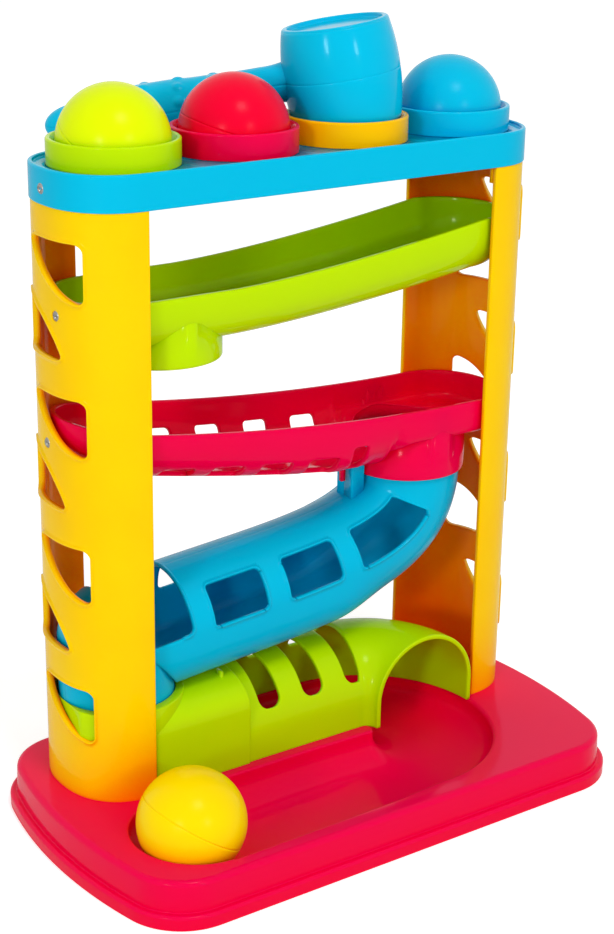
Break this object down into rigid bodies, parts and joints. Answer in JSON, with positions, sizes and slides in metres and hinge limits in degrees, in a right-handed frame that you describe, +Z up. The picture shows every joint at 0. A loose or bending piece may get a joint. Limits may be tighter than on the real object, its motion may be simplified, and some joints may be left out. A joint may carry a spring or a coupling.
{
  "type": "ball pounding tower",
  "caption": "Toddler ball pounding tower in moulded plastic: a hammer, hollow balls in grip rings, a trough, a ramp, a windowed tube, a tunnel and a base tray",
  "frame": {"origin": "on the underside of the base, under the middle of its plan outline", "axes": "+Z up, +X along the length of the base to the viewer's right, -Y toward the front where the open tray lane is"},
  "size_m": [0.267, 0.1824, 0.3441],
  "materials": {
    "red_plastic": "glossy moulded polypropylene",
    "yellow_plastic": "glossy moulded polypropylene",
    "amber_plastic": "glossy moulded polypropylene",
    "blue_plastic": "glossy moulded polypropylene",
    "green_plastic": "glossy moulded polypropylene",
    "green_ball_plastic": "satin moulded plastic with a weld seam",
    "red_ball_plastic": "satin moulded plastic with a weld seam",
    "blue_ball_plastic": "satin moulded plastic with a weld seam",
    "yellow_ball_plastic": "satin moulded plastic with a weld seam",
    "steel": "plated screw steel"
  },
  "bodies": {
    "tower": {"base_tray": "red_plastic", "left_end_panel": "yellow_plastic", "right_end_panel": "yellow_plastic", "top_deck": "blue_plastic", "green_ring": "green_plastic", "red_ring": "red_plastic", "yellow_ring": "amber_plastic", "blue_ring": "blue_plastic", "upper_trough": "green_plastic", "middle_ramp": "red_plastic", "tube_front_half": "blue_plastic", "tube_back_half": "blue_plastic", "tunnel_inlet": "green_plastic", "tunnel_arch": "green_plastic", "trough_screw_left": "steel", "trough_screw_right": "steel", "ramp_screw_left": "steel", "ramp_screw_right": "steel", "deck_screw_left": "steel", "deck_screw_right": "steel"},
    "ball_green": {"green_ball_upper_half": "green_ball_plastic", "green_ball_lower_half": "green_ball_plastic"},
    "ball_red": {"red_ball_upper_half": "red_ball_plastic", "red_ball_lower_half": "red_ball_plastic"},
    "ball_blue": {"blue_ball_upper_half": "blue_ball_plastic", "blue_ball_lower_half": "blue_ball_plastic"},
    "ball_yellow": {"yellow_ball_upper_half": "yellow_ball_plastic", "yellow_ball_lower_half": "yellow_ball_plastic"},
    "hammer": {"hammer_upper_shell": "blue_plastic", "hammer_lower_shell": "blue_plastic"}
  },
  "joints": [
    {"name": "green_ball_press", "type": "slide", "parent": "tower", "child": "ball_green", "axis": [0, 0, 1], "range_m": [-0.045, 0.05]},
    {"name": "red_ball_press", "type": "slide", "parent": "tower", "child": "ball_red", "axis": [0, 0, 1], "range_m": [-0.045, 0.05]},
    {"name": "blue_ball_press", "type": "slide", "parent": "tower", "child": "ball_blue", "axis": [0, 0, 1], "range_m": [-0.045, 0.05]},
    {"name": "yellow_ball_roll", "type": "slide", "parent": "tower", "child": "ball_yellow", "axis": [0.999, 0.044, 0.011], "range_m": [0, 0.1]},
    {"name": "hammer_lift", "type": "slide", "parent": "tower", "child": "hammer", "axis": [0, 0, 1], "range_m": [0, 0.08]}
  ]
}
